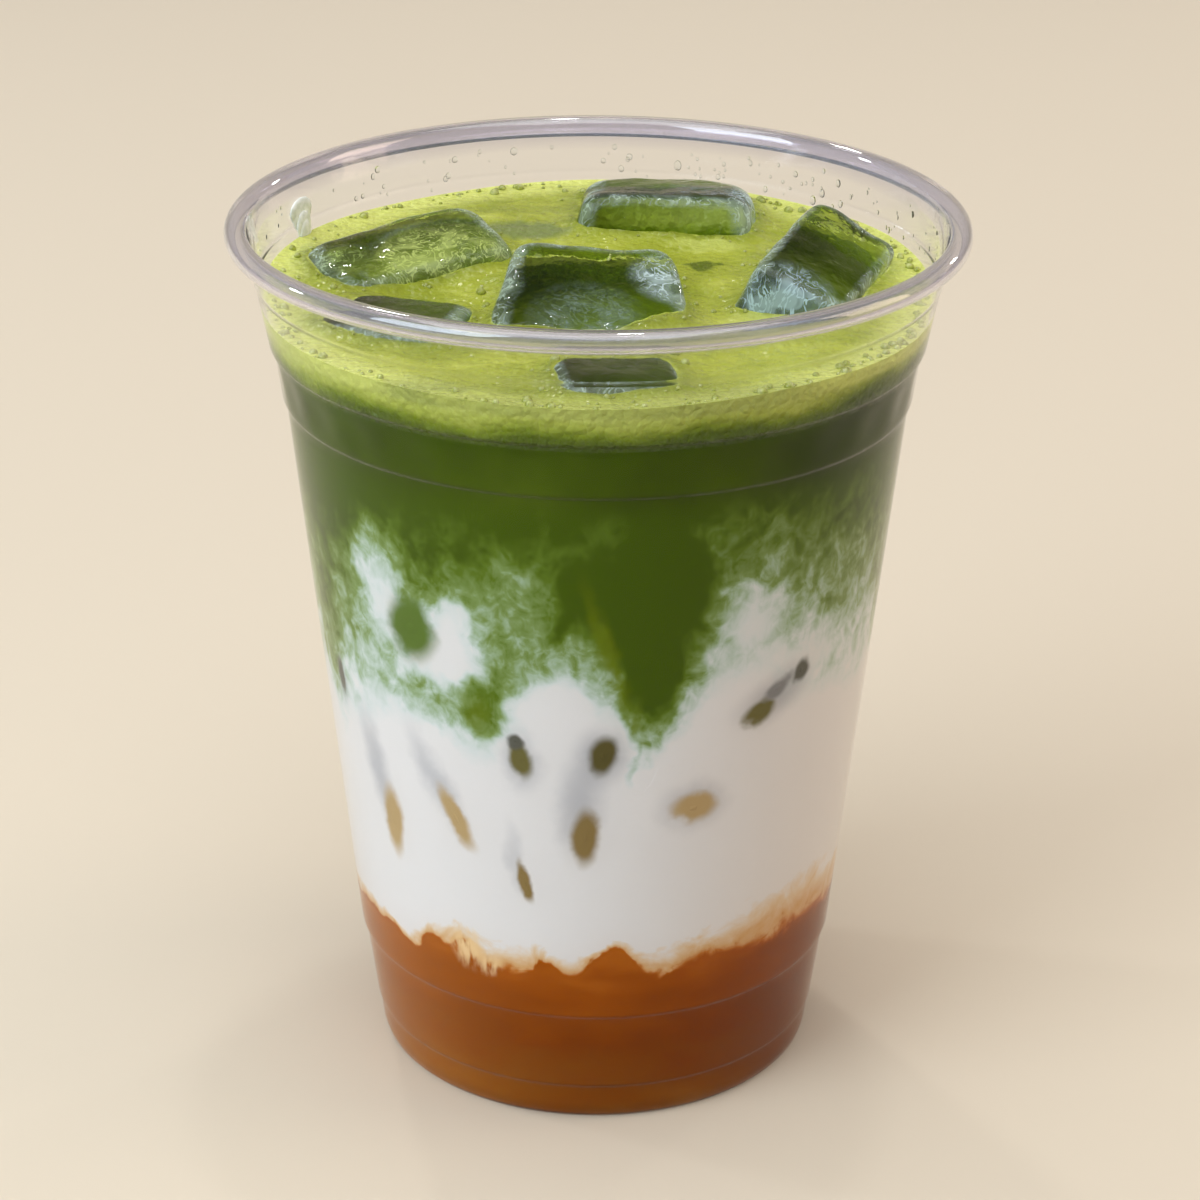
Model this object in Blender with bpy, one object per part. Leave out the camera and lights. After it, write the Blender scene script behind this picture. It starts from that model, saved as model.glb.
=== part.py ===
"""Iced matcha latte: syrup, milk, matcha and froth poured in layers round ice blocks, in a clear plastic cup.

Metres, +Z up. The origin is the middle of the base, on the surface that the cup stands on. The side at -Y is the
front, and angles round the cup are counted from it, to the right.
"""

import math

import bmesh
import bpy
from mathutils import Euler, Vector, noise

MM = 0.001

# The cup is thermoformed from one clear sheet. Its radii are those of the sheet's outer face.
CUP_HEIGHT = 120.0 * MM
SHEET = 0.6 * MM
RIM_RADIUS = 49.0 * MM
CURL_RADIUS = 1.5 * MM
CURL_TURN = math.radians(280.0)
NECK = (115.6 * MM, 45.8 * MM)
LEDGE_RISE = 0.8 * MM
# A ledge's height, and the radius of the wall under it and over it.
LEDGES = (
    (5.7 * MM, 30.9 * MM, 31.3 * MM),
    (17.6 * MM, 32.8 * MM, 33.3 * MM),
    (96.2 * MM, 41.6 * MM, 42.1 * MM),
    (103.6 * MM, 43.1 * MM, 43.7 * MM),
    (112.4 * MM, 45.2 * MM, 45.5 * MM),
)
RIB_DEPTH = 0.15 * MM
RIB_BAND = (LEDGES[2][0] + LEDGE_RISE, LEDGES[3][0] - LEDGE_RISE)

# The base is pushed up in the middle and stands on a flat ring.
BASE_LIFT = 3.0 * MM
BASE_DISC_RADIUS = 23.5 * MM
FOOT_INNER_RADIUS = 26.3 * MM
FOOT_OUTER_RADIUS = 29.0 * MM
HEEL = (2.0 * MM, 30.6 * MM)

# What is poured in stays this far from the sheet, from the ice and from the next layer.
GAP = 0.3 * MM
SYRUP_DEPTH = 25.4 * MM
MILK_TOP = 80.0 * MM
FROTH_FLOOR = 102.8 * MM
FROTH_TOP = 108.4 * MM
FROTH_BACK_RISE = 2.4 * MM
FROTH_BUMP = 0.35 * MM
MENISCUS = 0.5 * MM

# Where the matcha sinks into the milk at the wall, or the milk stands up in it: the angle round the cup, how far the
# boundary moves up, and the half width of the tongue.
TONGUES = (
    (math.radians(9.0), -27.0 * MM, math.radians(9.0)),
    (math.radians(-24.0), -14.0 * MM, math.radians(8.0)),
    (math.radians(-44.0), 4.0 * MM, math.radians(9.0)),
    (math.radians(30.0), 4.0 * MM, math.radians(9.0)),
    (math.radians(-78.0), -12.0 * MM, math.radians(10.0)),
    (math.radians(82.0), -7.0 * MM, math.radians(12.0)),
    (math.radians(128.0), -20.0 * MM, math.radians(10.0)),
    (math.radians(176.0), -9.0 * MM, math.radians(16.0)),
    (math.radians(-132.0), -23.0 * MM, math.radians(12.0)),
)
SYRUP_CREST = 1.3 * MM
SYRUP_CRESTS = 16
SYRUP_FIRST_CREST = math.radians(-35.0)

SIDES = 64
STEP = math.tau / SIDES

# Each ice block: its size, its middle, its turn about X, Y and Z in degrees, how far its corners have melted round, and
# how much narrower it is at its far end than at its near end.
ICE_BLOCKS = {
    "ice_back": ((26.0, 14.0, 17.5), (9.4, 29.2, 107.6), (82.0, 0.0, -5.0), 0.30, 0.12),
    "ice_middle": ((25.5, 22.0, 18.0), (-0.8, -5.4, 103.8), (21.0, 2.0, 1.0), 0.30, 0.18),
    "ice_right": ((13.5, 25.0, 20.0), (26.9, 0.9, 106.2), (5.0, 25.0, -20.0), 0.24, 0.0),
    "ice_left": ((26.5, 16.5, 12.5), (-25.8, 10.9, 106.5), (8.0, -6.0, 26.0), 0.34, 0.0),
    "ice_left_front": ((20.5, 14.5, 12.5), (-26.6, -11.4, 104.1), (2.0, -2.0, -18.0), 0.40, 0.0),
    "ice_front": ((17.0, 13.0, 15.0), (2.2, -31.6, 102.4), (2.0, 3.0, 8.0), 0.42, 0.0),
}
ICE_CUTS = 3
ICE_WAVE = 0.06
SHORTEST_EDGE = 0.05 * MM


def finish(name, colour, roughness, clear=0.0):
    """A plain surface colour for one sort of piece. clear is the share of light that goes through it."""
    material = bpy.data.materials.new(name)
    material.use_nodes = True
    shader = material.node_tree.nodes["Principled BSDF"]
    shader.inputs["Base Color"].default_value = (*colour, 1.0)
    shader.inputs["Roughness"].default_value = roughness
    shader.inputs["Metallic"].default_value = 0.0
    shader.inputs["Transmission Weight"].default_value = clear
    return material


def add_body(name, mesh, material):
    """Puts a finished mesh in the scene as one sub-part."""
    mesh.materials.append(material)
    body = bpy.data.objects.new(name, mesh)
    bpy.context.scene.collection.objects.link(body)
    return body


def lathe(name, rings, material):
    """A closed body round the cup's axis. A ring gives a radius and a height for each side of the cup, and the first
    and last rings are single points on the axis."""
    shape = bmesh.new()
    loops = []
    for ring in rings:
        places = [ring(side) for side in range(SIDES)]
        if max(radius for radius, _ in places) == 0.0:
            loops.append([shape.verts.new((0.0, 0.0, places[0][1]))])
            continue
        loops.append([])
        for side, (radius, height) in enumerate(places):
            angle = side * STEP
            loops[-1].append(
                shape.verts.new((radius * math.sin(angle), -radius * math.cos(angle), height))
            )
    for lower, upper in zip(loops, loops[1:]):
        for side in range(SIDES):
            after = (side + 1) % SIDES
            if len(lower) == 1:
                shape.faces.new((lower[0], upper[after], upper[side]))
            elif len(upper) == 1:
                shape.faces.new((lower[side], lower[after], upper[0]))
            else:
                shape.faces.new((lower[side], lower[after], upper[after], upper[side]))
    bmesh.ops.triangulate(shape, faces=shape.faces[:])
    mesh = bpy.data.meshes.new(name)
    shape.to_mesh(mesh)
    shape.free()
    mesh.shade_smooth()
    mesh.set_sharp_from_angle(angle=math.radians(35.0))
    return add_body(name, mesh, material)


def level(radius, height):
    """A ring of one radius and one height."""
    return lambda side: (radius, height)


def wall_corners():
    """The outer face of the wall from the heel to the neck, as heights and radii."""
    corners = [HEEL]
    for height, under, over in LEDGES:
        corners.append((height - LEDGE_RISE / 2, under))
        corners.append((height + LEDGE_RISE / 2, over))
    return corners + [NECK]


def rib(side, height):
    """How far the ribbed band is pressed in at one side. Every other side is a rib."""
    pressed = side % 2 == 1 and RIB_BAND[0] - LEDGE_RISE < height < RIB_BAND[1] + LEDGE_RISE
    return RIB_DEPTH if pressed else 0.0


def inner_radius(height):
    """The radius of the sheet's inner face at a height on the wall."""
    corners = wall_corners()
    for (low, low_radius), (high, high_radius) in zip(corners, corners[1:]):
        if height <= high:
            share = max(0.0, (height - low) / (high - low))
            return low_radius + (high_radius - low_radius) * share - SHEET
    return corners[-1][1] - SHEET


def cup_rings():
    """The sheet's outline from the middle of its underside, up the outer face, round the curl and down the inner
    face to the middle of the floor."""
    def on_wall(height, radius):
        return lambda side: (radius - rib(side, height), height)

    rings = [
        level(0.0, BASE_LIFT),
        level(BASE_DISC_RADIUS, BASE_LIFT),
        level(FOOT_INNER_RADIUS, 0.0),
        level(FOOT_OUTER_RADIUS, 0.0),
    ]
    rings += [on_wall(height, radius) for height, radius in wall_corners()]
    curl_middle = (RIM_RADIUS - CURL_RADIUS, CUP_HEIGHT - CURL_RADIUS)
    for radius, steps, order in ((CURL_RADIUS - SHEET, 6, 1), (CURL_RADIUS, 10, -1)):
        for step in range(steps + 1)[::order]:
            turn = math.pi - CURL_TURN * step / steps
            rings.append(
                level(curl_middle[0] + radius * math.cos(turn), curl_middle[1] + radius * math.sin(turn))
            )
    rings += [on_wall(height, radius - SHEET) for height, radius in reversed(wall_corners())]
    rings += [
        level(FOOT_OUTER_RADIUS - SHEET / 2, SHEET),
        level(FOOT_INNER_RADIUS + SHEET / 2, SHEET),
        level(BASE_DISC_RADIUS + SHEET / 2, BASE_LIFT + SHEET),
        level(0.0, BASE_LIFT + SHEET),
    ]
    return rings


def make_cup():
    clear_plastic = finish("clear_plastic", (0.92, 0.94, 0.94), 0.04, clear=1.0)
    return lathe("cup", cup_rings(), clear_plastic)


def between(angle, middle):
    """The angle from middle to angle, the short way round."""
    return (angle - middle + math.pi) % math.tau - math.pi


def syrup_top(angle, share):
    """The height of the syrup at an angle and at a share of the wall's radius: ragged at the wall, level inside."""
    crests = math.cos(SYRUP_CRESTS * (angle - SYRUP_FIRST_CREST)) * (0.7 + 0.3 * math.cos(5 * angle))
    return SYRUP_DEPTH + SYRUP_CREST * crests * share**4


def milk_top(angle, share):
    """The height where milk meets matcha. The tongues are deepest at the wall and die out towards the middle."""
    height = MILK_TOP
    for middle, rise, half_width in TONGUES:
        height += rise * math.exp(-((between(angle, middle) / half_width) ** 2)) * share**3
    return height


def froth_top(angle, share):
    """The froth's uneven surface. It is thicker at the back, and it clings to the wall."""
    slope = FROTH_BACK_RISE * (1.0 - share * math.cos(angle)) / 2
    bumps = math.sin(3 * angle + 1.0) * math.sin(7.0 * share) + 0.7 * math.cos(5 * angle) * math.cos(9.0 * share)
    return FROTH_TOP + slope + FROTH_BUMP * bumps + MENISCUS * share**12


def poured(height_at, share, clearance=0.0):
    """A ring on the surface between two layers, at a share of the way out to the wall."""
    def ring(side):
        height = height_at(side * STEP, share) + clearance
        return share * (inner_radius(height) - GAP) - rib(side, height), height

    return ring


def against_wall(height):
    """A ring where a layer follows the wall."""
    return lambda side: (inner_radius(height) - GAP - rib(side, height), height)


def make_syrup():
    caramel = finish("caramel_syrup", (0.27, 0.075, 0.012), 0.25)
    floor = BASE_LIFT + SHEET + GAP
    foot = SHEET + GAP
    rings = [
        level(0.0, floor),
        level(BASE_DISC_RADIUS + SHEET / 2, floor),
        level(FOOT_INNER_RADIUS + SHEET / 2 + GAP, foot),
        level(FOOT_OUTER_RADIUS - SHEET / 2 - GAP, foot),
    ]
    rings += [against_wall(height) for height, _ in wall_corners() if height < SYRUP_DEPTH - SYRUP_CREST]
    rings += [poured(syrup_top, share) for share in (1.0, 0.93, 0.8)]
    rings.append(level(0.0, SYRUP_DEPTH))
    return lathe("syrup", rings, caramel)


def make_milk():
    milk = finish("milk", (0.86, 0.82, 0.76), 0.3)
    rings = [level(0.0, SYRUP_DEPTH + GAP)]
    rings += [poured(syrup_top, share, GAP) for share in (0.8, 0.93, 1.0)]
    rings += [poured(milk_top, share) for share in (1.0, 0.85, 0.65, 0.4)]
    rings.append(level(0.0, MILK_TOP))
    return lathe("milk", rings, milk)


def make_matcha():
    matcha = finish("matcha", (0.08, 0.13, 0.012), 0.3)
    rings = [level(0.0, MILK_TOP + GAP)]
    rings += [poured(milk_top, share, GAP) for share in (0.4, 0.65, 0.85, 1.0)]
    rings += [against_wall(height) for height, _ in wall_corners() if MILK_TOP + 10 * MM < height < FROTH_FLOOR]
    rings += [against_wall(FROTH_FLOOR - GAP), level(0.0, FROTH_FLOOR - GAP)]
    return lathe("matcha", rings, matcha)


def make_froth():
    froth = finish("froth", (0.42, 0.45, 0.09), 0.45)
    rings = [level(0.0, FROTH_FLOOR), against_wall(FROTH_FLOOR)]
    rings += [against_wall(height) for height, _ in wall_corners() if FROTH_FLOOR < height < FROTH_TOP]
    rings += [poured(froth_top, share) for share in (1.0, 0.97, 0.88, 0.7, 0.48, 0.25)]
    rings.append(level(0.0, froth_top(0.0, 0.0)))
    return lathe("froth", rings, froth)


def block_mesh(name, size, melt, narrowing, swell=0.0):
    """A melting ice block round its own middle. Its corners are rounded, and its faces are a little wavy. swell moves
    the whole surface out."""
    shape = bmesh.new()
    bmesh.ops.create_cube(shape, size=2.0)
    bmesh.ops.subdivide_edges(shape, edges=shape.edges[:], cuts=ICE_CUTS, use_grid_fill=True)
    power = 2.0 + 1.0 / melt**1.4
    half = Vector(size) * MM / 2
    for vert in shape.verts:
        place = vert.co.copy()
        spread = sum(abs(value) ** power for value in place) ** (1.0 / power)
        wave = noise.noise(place * 0.9 + half * 400.0)
        vert.co = place / spread * (1.0 + ICE_WAVE * wave) * half
        vert.co.x *= 1.0 - narrowing * place.y / spread
    shape.normal_update()
    for vert in shape.verts:
        vert.co += vert.normal * swell
    bmesh.ops.triangulate(shape, faces=shape.faces[:])
    mesh = bpy.data.meshes.new(name)
    shape.to_mesh(mesh)
    shape.free()
    mesh.shade_smooth()
    mesh.set_sharp_from_angle(angle=math.radians(50.0))
    return mesh


def place_block(body, middle, turn):
    body.location = Vector(middle) * MM
    body.rotation_euler = Euler([math.radians(value) for value in turn])


def make_ice(cut_layers):
    """The ice blocks, and the room that each takes in the layers that it floats in."""
    cutters = bpy.data.collections.new("room_for_ice")
    bpy.context.scene.collection.children.link(cutters)
    for name, (size, middle, turn, melt, narrowing) in ICE_BLOCKS.items():
        ice = finish(name, (0.85, 0.9, 0.88), 0.08, clear=1.0)
        place_block(add_body(name, block_mesh(name, size, melt, narrowing), ice), middle, turn)
        room_mesh = block_mesh("room_for_" + name, size, melt, narrowing, GAP)
        room = bpy.data.objects.new("room_for_" + name, room_mesh)
        cutters.objects.link(room)
        place_block(room, middle, turn)
        room.hide_render = True
        room.display_type = "WIRE"
    for layer in cut_layers:
        cut = layer.modifiers.new("ice", "BOOLEAN")
        cut.operation = "DIFFERENCE"
        cut.operand_type = "COLLECTION"
        cut.collection = cutters
        weld = layer.modifiers.new("short_edges", "WELD")
        weld.merge_threshold = SHORTEST_EDGE


def main():
    for old in list(bpy.data.objects):
        bpy.data.objects.remove(old)
    make_cup()
    make_syrup()
    make_milk()
    make_ice([make_matcha(), make_froth()])


main()
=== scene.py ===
import math
import random

import bmesh
import bpy
from mathutils import Euler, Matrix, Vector, noise
from mathutils.bvhtree import BVHTree


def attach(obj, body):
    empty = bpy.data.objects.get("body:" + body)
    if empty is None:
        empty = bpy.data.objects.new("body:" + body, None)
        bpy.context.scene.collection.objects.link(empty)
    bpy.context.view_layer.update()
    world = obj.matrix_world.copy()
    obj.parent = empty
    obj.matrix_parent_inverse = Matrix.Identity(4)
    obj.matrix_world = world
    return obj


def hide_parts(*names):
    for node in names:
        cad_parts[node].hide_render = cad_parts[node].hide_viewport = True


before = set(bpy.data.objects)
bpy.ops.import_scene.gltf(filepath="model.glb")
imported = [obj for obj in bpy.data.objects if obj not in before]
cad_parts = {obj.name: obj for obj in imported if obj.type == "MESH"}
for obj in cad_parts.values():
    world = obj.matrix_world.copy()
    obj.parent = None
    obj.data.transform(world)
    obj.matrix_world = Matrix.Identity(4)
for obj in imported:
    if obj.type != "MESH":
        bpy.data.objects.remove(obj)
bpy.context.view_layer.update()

MM = 0.001


# The view. A phone held a little above the rim looks down over the front of the cup, with a long lens.
CAMERA_PLACE = (0, -0.420, 0.2482)
CAMERA_DOWN = math.radians(23.62)
CAMERA_ROLL = math.radians(0.32)
FRAME_PIXELS = 1200
FOCAL_PIXELS = 3327
SENSOR_WIDTH = 36

camera_data = bpy.data.cameras.new("camera")
camera_data.sensor_width = SENSOR_WIDTH
camera_data.lens = SENSOR_WIDTH * FOCAL_PIXELS / FRAME_PIXELS
camera_data.shift_x = 0.003
camera = bpy.data.objects.new("camera", camera_data)
camera.location = CAMERA_PLACE
camera.rotation_euler = (math.radians(90) - CAMERA_DOWN, 0, 0)
camera.rotation_euler.rotate_axis("Z", CAMERA_ROLL)
bpy.context.scene.collection.objects.link(camera)
bpy.context.scene.camera = camera
bpy.context.scene.view_settings.view_transform = "Standard"


# The studio. A sheet of warm beige paper runs under the cup and up behind it. Cool daylight comes from soft boxes at
# the upper left, and a weaker warm one fills the right side.
PAPER = (0.70, 0.61, 0.49)
PAPER_WIDTH = 6
PAPER_FRONT = -2.2
PAPER_BACK = 1.5
PAPER_RISE = 2.6
PAPER_BEND = 0.7
SOFT_BOXES = {
    "left_box": ((-0.95, -0.75, 0.75), (0.9, 0.9), 10, (0.80, 0.92, 1)),
    "top_box": ((-0.1, -0.45, 2), (2.2, 2.2), 32, (1, 0.98, 0.95)),
    "right_box": ((1.2, 0, 0.5), (0.6, 0.9), 3.8, (1, 0.8, 0.6)),
    "back_glint": ((-0.35, 0.9, 1.1), (0.08, 0.08), 1.6, (1, 0.98, 0.95)),
    "back_right_glint": ((0.7, 0.8, 0.45), (0.07, 0.07), 0.8, (1, 0.97, 0.92)),
    "high_glint": ((0.1, 0.3, 1.5), (0.08, 0.08), 1.6, (1, 1, 1)),
    "left_glint": ((-0.9, 0.3, 0.6), (0.08, 0.08), 1.2, (0.9, 0.96, 1)),
}
SOFT_BOX_AIM = Vector((0, 0, 0.07))


def start_shape(add, **settings):
    """Adds one primitive with nothing else selected, and opens it in edit mode."""
    bpy.ops.object.select_all(action="DESELECT")
    add(**settings)
    piece = bpy.context.active_object
    bpy.ops.object.mode_set(mode="EDIT")
    return piece


def end_shape(piece, name):
    bpy.ops.object.mode_set(mode="OBJECT")
    piece.name = name
    piece.data.name = name
    bpy.ops.object.transform_apply(location=True, rotation=True, scale=True)
    return piece


paper = start_shape(bpy.ops.mesh.primitive_plane_add, size=1)
bpy.ops.transform.resize(value=(PAPER_WIDTH, PAPER_BACK - PAPER_FRONT, 1))
bpy.ops.transform.translate(value=(0, (PAPER_BACK + PAPER_FRONT) / 2, 0))
bpy.ops.mesh.select_all(action="DESELECT")
bpy.ops.mesh.select_mode(type="EDGE")
paper_edges = bmesh.from_edit_mesh(paper.data)
for edge in paper_edges.edges:
    edge.select_set(all(vert.co.y > PAPER_BACK - 0.01 for vert in edge.verts))
bmesh.update_edit_mesh(paper.data)
BEND_STEPS = 12
for step in range(BEND_STEPS):
    before = math.radians(90) * step / BEND_STEPS
    after = math.radians(90) * (step + 1) / BEND_STEPS
    bend = (0, math.sin(after) - math.sin(before), math.cos(before) - math.cos(after))
    bpy.ops.mesh.extrude_region_move(
        TRANSFORM_OT_translate={"value": [PAPER_BEND * part for part in bend]}
    )
bpy.ops.mesh.extrude_region_move(TRANSFORM_OT_translate={"value": (0, 0, PAPER_RISE)})
end_shape(paper, "paper")
bpy.ops.object.shade_smooth()
beige = bpy.data.materials.new("beige_paper")
beige.use_nodes = True
beige_shader = beige.node_tree.nodes["Principled BSDF"]
beige_shader.inputs["Base Color"].default_value = (*PAPER, 1)
beige_shader.inputs["Roughness"].default_value = 0.9
paper.data.materials.append(beige)

for name, (place, size, power, colour) in SOFT_BOXES.items():
    light = bpy.data.lights.new(name, "AREA")
    light.shape = "RECTANGLE"
    light.size, light.size_y = size
    light.energy = power
    light.color = colour
    holder = bpy.data.objects.new(name, light)
    holder.location = place
    holder.rotation_euler = (SOFT_BOX_AIM - Vector(place)).to_track_quat("-Z", "Y").to_euler()
    bpy.context.scene.collection.objects.link(holder)

world = bpy.data.worlds.new("studio")
world.use_nodes = True
world.node_tree.nodes["Background"].inputs["Color"].default_value = (0.86, 0.92, 1, 1)
world.node_tree.nodes["Background"].inputs["Strength"].default_value = 0.2
bpy.context.scene.world = world


# The cup. It is formed from one clear sheet: a base pushed up in the middle, a tapered wall with ledges that keep
# stacked cups apart, a band of shallow ribs between two of them, and a rim that is curled outwards.
CUP_HEIGHT = 120 * MM
SHEET = 0.6 * MM
RIM_RADIUS = 49 * MM
CURL_RADIUS = 1.5 * MM
CURL_TURN = math.radians(280)
CURL_ACROSS = RIM_RADIUS - CURL_RADIUS
CURL_HEIGHT = CUP_HEIGHT - CURL_RADIUS
CURL_SWEEPS = ((CURL_RADIUS - SHEET, 18, 1), (CURL_RADIUS, 30, -1))
NECK = (115.6 * MM, 45.8 * MM)
HEEL = (2 * MM, 30.6 * MM)
LEDGE_RISE = 0.8 * MM
LEDGES = (
    (5.7 * MM, 30.9 * MM, 31.3 * MM), (17.6 * MM, 32.8 * MM, 33.3 * MM), (96.2 * MM, 41.6 * MM, 42.1 * MM),
    (103.6 * MM, 43.1 * MM, 43.7 * MM), (112.4 * MM, 45.2 * MM, 45.5 * MM),
)
RIB_BAND = (97.2 * MM, 102.6 * MM)
RIB_COUNT = 32
RIB_DEPTH = 0.15 * MM
RIB_FADE = 0.8 * MM
# The base's faces in millimetres: radius and height.
BASE_UNDER = (
    (0, 3), (12, 3), (22.5, 3), (24, 2.7), (25.2, 1.3), (25.9, 0.35), (26.5, 0), (28.8, 0),
    (29.7, 0.25), (30.3, 0.9),
)
BASE_OVER = (
    (29.6, 1), (28.7, 0.6), (26.6, 0.6), (26.2, 0.8), (25.6, 1.7), (24.3, 3.2), (22.8, 3.6), (12, 3.6),
    (0, 3.6),
)
SIDES = 256
WALL_STEP = 1.3 * MM

WALL_CORNERS = [HEEL]
for height, under, over in LEDGES:
    WALL_CORNERS += [(height - LEDGE_RISE / 2, under), (height + LEDGE_RISE / 2, over)]
WALL_CORNERS.append(NECK)


def wall_radius(height):
    """The outer face's radius at a height. Every other stretch of the wall is a ledge, in a soft S."""
    stretches = zip(WALL_CORNERS, WALL_CORNERS[1:])
    for index, ((low, low_radius), (high, high_radius)) in enumerate(stretches):
        if height <= high:
            share = max(0, (height - low) / (high - low))
            if index % 2 == 1:
                share = share * share * (3 - 2 * share)
            return low_radius + (high_radius - low_radius) * share
    return WALL_CORNERS[-1][1]


def angle_of(place):
    """The angle round the cup, from the front at -Y to the right."""
    return math.atan2(place.x, -place.y)


def around(angle, radius):
    """The place across and along at an angle from the front."""
    return radius * math.sin(angle), -radius * math.cos(angle)


def ribbed(place):
    """How far the ribbed band is pressed in at a place on the wall."""
    rise = min(place.z - RIB_BAND[0], RIB_BAND[1] - place.z) / RIB_FADE
    fade = min(1, max(0, rise))
    return RIB_DEPTH * fade * (0.5 + 0.5 * math.cos(RIB_COUNT * angle_of(place)))


def turned(name, outline, sides=SIDES):
    """Draws an outline of radii and heights as a chain of edges, and spins it round the cup's axis."""
    piece = start_shape(bpy.ops.mesh.primitive_plane_add, size=1 * MM)
    bpy.ops.mesh.select_mode(type="VERT")
    bpy.ops.mesh.merge(type="CENTER")
    bpy.ops.transform.translate(value=(outline[0][0], 0, outline[0][1]))
    for before, after in zip(outline, outline[1:]):
        bpy.ops.mesh.extrude_vertices_move(
            TRANSFORM_OT_translate={"value": (after[0] - before[0], 0, after[1] - before[1])}
        )
    bpy.ops.mesh.select_all(action="SELECT")
    bpy.ops.mesh.spin(steps=sides, angle=math.tau, center=(0, 0, 0), axis=(0, 0, 1))
    bpy.ops.mesh.select_all(action="SELECT")
    bpy.ops.mesh.remove_doubles(threshold=0.01 * MM)
    bpy.ops.mesh.normals_make_consistent(inside=False)
    return end_shape(piece, name)


def wall_heights(low, high):
    """Heights up the wall from low to high, close together on the ledges."""
    heights = [low, high]
    for height, _, _ in LEDGES:
        heights += [height + LEDGE_RISE * share for share in (-0.5, -0.3, -0.1, 0.1, 0.3, 0.5)]
    steps = int((high - low) / WALL_STEP)
    heights += [low + (high - low) * step / steps for step in range(1, steps)]
    return sorted(height for height in set(heights) if low <= height <= high)


def from_mm(points):
    return [(radius * MM, height * MM) for radius, height in points]


side_heights = wall_heights(HEEL[0], NECK[0])
cup_outline = from_mm(BASE_UNDER)
cup_outline += [(wall_radius(height), height) for height in side_heights]
for radius, steps, order in CURL_SWEEPS:
    for step in range(steps + 1)[::order]:
        turn = math.pi - CURL_TURN * step / steps
        cup_outline.append((CURL_ACROSS + radius * math.cos(turn), CURL_HEIGHT + radius * math.sin(turn)))
cup_outline += [(wall_radius(height) - SHEET, height) for height in reversed(side_heights)]
cup_outline += from_mm(BASE_OVER)
cup = turned("clear_cup", cup_outline)
for vert in cup.data.vertices:
    radius = math.hypot(vert.co.x, vert.co.y)
    if radius > 0:
        shrink = 1 - ribbed(vert.co) / radius
        vert.co.x *= shrink
        vert.co.y *= shrink
bpy.ops.object.shade_smooth()


class Dye:
    """One number or colour on its way through a finish. Sums on it add the nodes that work them out."""

    def __init__(self, finish, socket):
        self.finish = finish
        self.socket = socket

    def work(self, operation, *terms):
        if any(isinstance(term, Dye) and term.socket.type == "VECTOR" for term in terms):
            return self.finish.node("VectorMath", {"operation": operation}, terms)
        return self.finish.node("Math", {"operation": operation}, terms)

    def __add__(self, other):
        return self.work("ADD", self, other)

    def __sub__(self, other):
        return self.work("SUBTRACT", self, other)

    def __rsub__(self, other):
        return self.work("SUBTRACT", other, self)

    def __mul__(self, other):
        return self.work("MULTIPLY", self, other)

    def __truediv__(self, other):
        return self.work("DIVIDE", self, other)

    def off_zero(self):
        return self.work("ABSOLUTE", self)

    def least(self, other):
        return self.work("MINIMUM", self, other)

    def most(self, other):
        return self.work("MAXIMUM", self, other)

    def between(self, low, high, top=1):
        """A soft step: 0 up to low, top from high on. Where high is below low, it falls instead."""
        ends = {"Value": self, "From Min": low, "From Max": high, "To Max": top}
        return self.finish.node("MapRange", {"interpolation_type": "SMOOTHSTEP"}, ends)

    def blend(self, first, second):
        """The first colour where this number is 0, and the second where it is 1."""
        colours = {"Factor": self, 6: first, 7: second}
        return self.finish.node("Mix", {"data_type": "RGBA"}, colours, output=2)


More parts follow.
